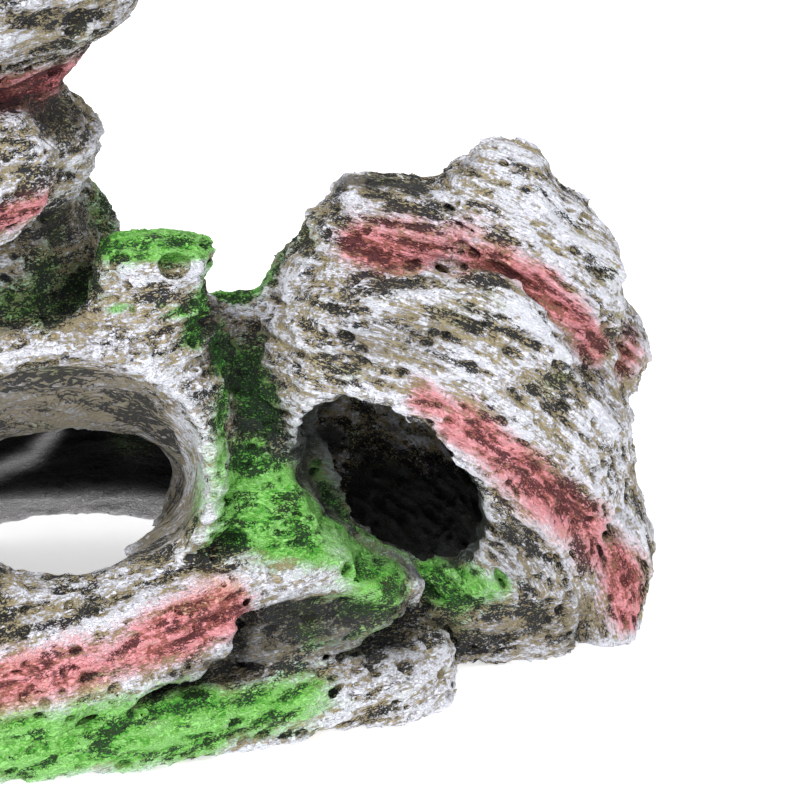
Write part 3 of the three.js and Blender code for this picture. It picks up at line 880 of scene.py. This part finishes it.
def add_mesh(name, points, quads):
    mesh = bpy.data.meshes.new(name)
    mesh.vertices.add(len(points))
    mesh.vertices.foreach_set("co", (points * MM).astype(np.float32).ravel())
    mesh.loops.add(quads.size)
    mesh.loops.foreach_set("vertex_index", quads.astype(np.int32).ravel())
    mesh.polygons.add(len(quads))
    mesh.polygons.foreach_set("loop_start", np.arange(0, quads.size, 4, dtype=np.int32))
    mesh.polygons.foreach_set("loop_total", np.full(len(quads), 4, np.int32))
    mesh.polygons.foreach_set("use_smooth", np.ones(len(quads), bool))
    mesh.update()
    mesh.validate()
    piece = bpy.data.objects.new(name, mesh)
    bpy.context.scene.collection.objects.link(piece)
    return piece


def add_attribute(piece, name, values, kind="FLOAT"):
    attribute = piece.data.attributes.new(name, kind, "POINT")
    key = "value" if kind == "FLOAT" else "vector"
    attribute.data.foreach_set(key, np.ascontiguousarray(values, np.float32).ravel())


def painted_inside_shade(points, field):
    """How much painted shade each point gets, by its place and by whether the rock looks into the chamber
    or the cave there.
    """
    slopes = [sampled(field, points + step) - sampled(field, points - step) for step in np.eye(3)]
    look = np.stack(slopes, axis=1)
    look /= np.maximum(np.linalg.norm(look, axis=1), 1e-6)[:, None]
    return inside_share(points, look)


def mark_cut_faces(piece, quads, buried):
    """Keeps the shading of the outside apart from that of the faces where two castings meet."""
    cut = buried[quads].any(axis=1)
    piece.data.attributes.new("sharp_face", "BOOLEAN", "FACE").data.foreach_set("value", cut)


def carve_rock():
    """The finished rock, and what its parting into castings needs."""
    rock, fields, nearest, second, owner = join_castings()
    rock = blurred(rock, ROUNDING)
    for stroke in STROKES:
        sculpt(rock, *stroke)
    worn = weather(rock, owner)
    bubble_pits(worn, owner)
    for node, x, y, z, radius in BIG_PITS:
        pit(worn, at(node, x, y, z), np.array([1.0, 0, 0]), radius, 1.2)
    ground = grid_axes(tuple(slice(0, n) for n in COUNT))[2]
    return np.maximum(worn, -ground), fields, nearest, second, owner


def build_castings():
    worn, fields, nearest, second, owner = carve_rock()
    edge = blurred(worn, EDGE_WIDTH)
    hollow = widely_blurred(worn, HOLLOW_WIDTH)
    pieces = {}
    for k, node in enumerate(NODES):
        part = casting_window(node)
        others = np.where(owner[part] == k, second[part], nearest[part])
        apart = 0.5 * (fields[node] - others) - OVERLAP / 2
        points, quads = main_body(*extracted(np.maximum(worn[part], apart), part))
        points = sharpened(points, (worn[part], apart), part)
        points[:, 2] = np.maximum(points[:, 2], 0)
        piece = add_mesh("rock_" + node, points, quads)
        skin = sampled(worn, points)
        mark_cut_faces(piece, quads, skin < -0.3 * VOXEL)
        add_attribute(piece, "edge", sampled(edge, points) - skin)
        add_attribute(piece, "hollow", sampled(hollow, points) - skin)
        add_attribute(piece, "pitted", in_threads(pitted_share, points))
        # painted shade for the walls of the chamber and the cave
        add_attribute(piece, "inside", in_threads(lambda group: painted_inside_shade(group, hollow), points))
        add_attribute(piece, "funnel", in_threads(funnel_share, points))
        for colour, sprays in SPRAYS.items():
            add_attribute(piece, colour, in_threads(lambda group: sprayed(group, sprays), points))
        add_attribute(piece, "grain", bedded(points, BEDDING.get(node, "level")), "FLOAT_VECTOR")
        add_attribute(piece, "rings", bedded(points, "funnel"), "FLOAT_VECTOR")
        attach(piece, "root")
        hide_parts(node)
        pieces[node] = piece
    return pieces


pieces = build_castings()

# ---------------------------------------------------------------- paint


def srgb(code):
    """A colour such as "c8c0b0" as linear red, green, blue and alpha."""
    channels = [int(code[k : k + 2], 16) / 255 for k in (0, 2, 4)]
    return [c / 12.92 if c < 0.04045 else ((c + 0.055) / 1.055) ** 2.4 for c in channels] + [1.0]


class Nodes:
    """Short ways to make shader nodes in one material."""

    def __init__(self, name):
        self.material = bpy.data.materials.new(name)
        self.material.use_nodes = True
        self.tree = self.material.node_tree
        self.shader = self.tree.nodes["Principled BSDF"]

    def link(self, source, target):
        self.tree.links.new(source, target)

    def fill(self, socket, value):
        if isinstance(value, bpy.types.NodeSocket):
            self.link(value, socket)
        else:
            socket.default_value = value

    def attribute(self, name, output="Fac"):
        node = self.tree.nodes.new("ShaderNodeAttribute")
        node.attribute_name = name
        return node.outputs[output]

    def position(self):
        return self.tree.nodes.new("ShaderNodeTexCoord").outputs["Object"]

    def noise(self, vector, stretch, detail=3.0, roughness=0.55):
        """Noise of about 0.5, where stretch is how many times it repeats in each unit of the vector."""
        node = self.tree.nodes.new("ShaderNodeTexNoise")
        self.link(self.stretched(vector, stretch), node.inputs["Vector"])
        node.inputs["Scale"].default_value = 1.0
        node.inputs["Detail"].default_value = detail
        node.inputs["Roughness"].default_value = roughness
        return node.outputs["Fac"]

    def stretched(self, vector, amounts):
        node = self.tree.nodes.new("ShaderNodeVectorMath")
        node.operation = "MULTIPLY"
        self.link(vector, node.inputs[0])
        node.inputs[1].default_value = amounts
        return node.outputs[0]

    def math(self, operation, a, b=0.0, c=0.0):
        node = self.tree.nodes.new("ShaderNodeMath")
        node.operation = operation
        for socket, value in zip(node.inputs, (a, b, c)):
            self.fill(socket, value)
        return node.outputs[0]

    def total(self, start, *terms):
        """start and each (value, share) or (value, share, middle) added up as share * (value - middle)."""
        for value, share, *middle in terms:
            start = self.math("MULTIPLY_ADD", value, share, self.math("ADD", start, -share * sum(middle)))
        return start

    def ramp(self, value, low, high):
        """0 below low and 1 above high, smooth between."""
        node = self.tree.nodes.new("ShaderNodeMapRange")
        node.interpolation_type = "SMOOTHSTEP"
        self.fill(node.inputs["Value"], value)
        node.inputs["From Min"].default_value = low
        node.inputs["From Max"].default_value = high
        return node.outputs["Result"]

    def mix(self, share, a, b):
        node = self.tree.nodes.new("ShaderNodeMix")
        node.data_type = "RGBA"
        self.fill(node.inputs["Factor"], share)
        self.fill(node.inputs["A"], a)
        self.fill(node.inputs["B"], b)
        return node.outputs["Result"]

    def mixed_number(self, share, a, b):
        node = self.tree.nodes.new("ShaderNodeMix")
        self.fill(node.inputs["Factor"], share)
        self.fill(node.inputs["A"], a)
        self.fill(node.inputs["B"], b)
        return node.outputs["Result"]


CHARCOAL = srgb("34383f")
UMBER = srgb("3b3a38")
KHAKI = srgb("a99c7c")
GREY = srgb("b8b6bc")
WHITE = srgb("e8eaf4")
SALMON = srgb("e47e83")
DEEP_RED = srgb("9a3e44")
LIGHT_MOSS = srgb("76c646")
MOSS = srgb("3fa830")
DEEP_MOSS = srgb("2a5024")
SOOT = srgb("4c4b48")
SMOKE = srgb("74726d")
# painted shade: dark grey on the cave's walls and near-black on the chamber's walls
CAVE_SHADE_GREY = srgb("3c423e")
CHAMBER_SHADE_BLACK = srgb("09090b")
# painted light for the lit bands inside the chamber
LIT_RIM_WHITE = srgb("f2f0f2")


def painted_resin(name):
    """Charcoal resin, dry-brushed in khaki, grey and white, with sprays of red and green, painted shade on
    the walls of the chamber and the cave, and painted light on bands inside the chamber.
    """
    n = Nodes(name)
    edge, hollow, pitted, inside, funnel = (
        n.attribute(key) for key in ("edge", "hollow", "pitted", "inside", "funnel")
    )
    red, green, dark, white, lit_rim = (n.attribute(key) for key in ("red", "green", "dark", "white", "lit_rim"))
    grain = n.attribute("grain", "Vector")
    rings = n.attribute("rings", "Vector")
    place = n.stretched(n.position(), (1 / MM, 1 / MM, 1 / MM))

    def drawn_out(over_rock, in_funnel, detail, roughness):
        """Noise drawn out along the bedding of the rock, and along the rings in the arch's funnel."""
        rock_noise = n.noise(grain, over_rock, detail, roughness)
        return n.mixed_number(funnel, rock_noise, n.noise(rings, in_funnel, detail, roughness))

    patches = n.noise(place, (0.09, 0.09, 0.11), 2.0, 0.5)
    bands = drawn_out((0.11, 0.14, 0.42), (0.05, 0.3, 0.5), 3.0, 0.6)
    web = drawn_out((1.0, 1.3, 2.0), (0.5, 0.8, 2.0), 2.0, 0.6)
    grit = n.noise(place, (1.3, 1.3, 1.6), 3.0, 0.65)
    specks = n.noise(place, (0.85, 0.85, 1.1), 2.0, 0.55)
    brush = n.noise(grain, (0.16, 0.25, 0.6), 6.0, 0.7)
    hairs = drawn_out((0.6, 1.0, 3.2), (0.3, 1.0, 3.2), 1.0, 0.5)

    # the charcoal shows in a web of fine lines, which crowd together in bands and in hollows
    crowd = n.total(
        0.5,
        (bands, 1.5, 0.5),
        (patches, 1.0, 0.5),
        (edge, -0.5),
        (hollow, -0.08),
        (dark, 0.2),
        (white, -0.22),
        (pitted, 0.14, 0.5),
        (funnel, -0.06),
    )
    lines = n.math("ABSOLUTE", n.total(0.0, (web, 1.0, 0.5), (grit, 0.35, 0.5), (hairs, 0.25, 0.5)))
    lines = n.total(lines, (n.ramp(crowd, 0.32, 0.84), -0.135))
    light = n.ramp(lines, -0.018, 0.002)
    # small dark pits in the paint, in clusters
    clusters = n.ramp(n.total(crowd, (funnel, -0.5)), 0.36, 0.5)
    speckled = n.math("MULTIPLY", n.ramp(specks, 0.61, 0.63), clusters)
    light = n.math("MULTIPLY", light, n.total(1.0, (speckled, -0.85)))

    # the brush leaves the most white on crests and edges
    cover = n.total(
        0.5,
        (brush, 1.2, 0.5),
        (grit, 1.2, 0.5),
        (hairs, 0.8, 0.5),
        (edge, 0.5),
        (hollow, 0.07),
        (patches, -0.6, 0.5),
        (white, 0.2),
        (dark, -0.12),
    )
    top = n.mix(n.ramp(cover, 0.46, 0.62), KHAKI, GREY)
    top = n.mix(n.ramp(n.total(cover, (white, 0.04)), 0.60, 0.80), top, WHITE)
    top = n.mix(n.math("MULTIPLY", funnel, n.total(0.6, (white, -0.6))), top, SMOKE)
    top = n.mix(n.math("MULTIPLY", dark, 0.74), top, SOOT)

    red_share = n.total(red, (patches, 0.8, 0.5), (brush, 1.4, 0.5), (grit, 1.0, 0.5))
    red_share = n.ramp(red_share, 0.10, 1.0)
    reddish = n.mix(n.ramp(cover, 0.38, 0.64), DEEP_RED, SALMON)
    top = n.mix(n.math("MULTIPLY", red_share, 0.8), top, reddish)
    green_share = n.total(green, (patches, 1.2, 0.5), (brush, 1.2, 0.5), (grit, 1.0, 0.5))
    green_share = n.ramp(green_share, 0.10, 0.95)
    greenish = n.mix(n.ramp(cover, 0.36, 0.62), MOSS, LIGHT_MOSS)
    top = n.mix(n.math("MULTIPLY", green_share, 0.88), top, greenish)

    base = n.mix(patches, CHARCOAL, UMBER)
    base = n.mix(n.math("MULTIPLY", funnel, 0.5), base, SOOT)
    base = n.mix(n.math("MULTIPLY", green_share, 0.7), base, DEEP_MOSS)
    base = n.mix(n.math("MULTIPLY", red_share, 0.35), base, DEEP_RED)
    colour = n.mix(light, base, top)
    # painted shade: black inside the chamber and dark grey in the cave, but green on the cave's mossy lip
    painted_shade_colour = n.mix(n.ramp(inside, CAVE_PAINT + 0.02, 0.95), CAVE_SHADE_GREY, CHAMBER_SHADE_BLACK)
    painted_shade_share = n.math("MULTIPLY", inside, n.total(1.0, (green, -0.65)))
    colour = n.mix(n.math("MULTIPLY", n.ramp(painted_shade_share, 0.0, 0.85), 0.99), colour, painted_shade_colour)
    # painted light: the lit bands inside the chamber, near-white over everything
    colour = n.mix(lit_rim, colour, LIT_RIM_WHITE)
    n.link(colour, n.shader.inputs["Base Color"])
    n.link(n.total(0.68, (green_share, -0.2), (inside, 0.3)), n.shader.inputs["Roughness"])
    n.shader.inputs["Specular IOR Level"].default_value = 0.2
    bump = n.tree.nodes.new("ShaderNodeBump")
    bump.inputs["Strength"].default_value = 1.0
    bump.inputs["Distance"].default_value = 0.55 * MM
    n.link(n.ramp(n.total(lines, (grit, 0.2)), -0.1, 0.25), bump.inputs["Height"])
    n.link(bump.outputs["Normal"], n.shader.inputs["Normal"])
    return n.material


paint = painted_resin("painted_resin")
for piece in pieces.values():
    piece.data.materials.append(paint)

# ---------------------------------------------------------------- floor, light and camera


def add_floor():
    mesh = bpy.data.meshes.new("floor")
    size = 3.0
    corners = [(-size, -size, 0), (size, -size, 0), (size, size, 0), (-size, size, 0)]
    mesh.from_pydata(corners, [], [(0, 1, 2, 3)])
    floor = bpy.data.objects.new("floor", mesh)
    bpy.context.scene.collection.objects.link(floor)
    n = Nodes("floor_white")
    n.shader.inputs["Base Color"].default_value = (0.95, 0.95, 0.95, 1)
    n.shader.inputs["Roughness"].default_value = 0.9
    # the floor is a light table, so the shadows on it are faint
    n.shader.inputs["Emission Color"].default_value = (1, 1, 1, 1)
    n.shader.inputs["Emission Strength"].default_value = 0.6
    mesh.materials.append(n.material)


def add_light(name, place, size, watts):
    light = bpy.data.lights.new(name, "AREA")
    light.shape = "DISK"
    light.size = size
    light.energy = watts
    lamp = bpy.data.objects.new(name, light)
    lamp.location = place
    target = Vector((0, 0, 0.06))
    lamp.rotation_euler = (target - Vector(place)).to_track_quat("-Z", "Y").to_euler()
    bpy.context.scene.collection.objects.link(lamp)


def add_camera():
    target = Vector((LOW + SPAN * np.array([0.74, 0.445, 0.334])) * MM)
    distance = 3.06 * SPAN[0] * MM
    azimuth, elevation = np.radians(-4.5), np.radians(24)
    level = np.cos(elevation)
    back = Vector((np.sin(azimuth) * level, -np.cos(azimuth) * level, np.sin(elevation)))
    camera = bpy.data.cameras.new("camera")
    camera.lens = 140
    rig = bpy.data.objects.new("camera", camera)
    rig.location = target + back * distance
    rig.rotation_euler = (-back).to_track_quat("-Z", "Y").to_euler()
    bpy.context.scene.collection.objects.link(rig)
    bpy.context.scene.camera = rig


def set_world():
    world = bpy.data.worlds.new("studio")
    world.use_nodes = True
    world.node_tree.nodes["Background"].inputs["Color"].default_value = (1, 1, 1, 1)
    world.node_tree.nodes["Background"].inputs["Strength"].default_value = 0.45
    bpy.context.scene.world = world
    bpy.context.scene.view_settings.view_transform = "Standard"


add_floor()
add_light("key", (-0.45, -0.55, 1.1), 0.6, 14)
add_light("fill", (0.8, -0.7, 0.8), 0.8, 4)
add_camera()
set_world()
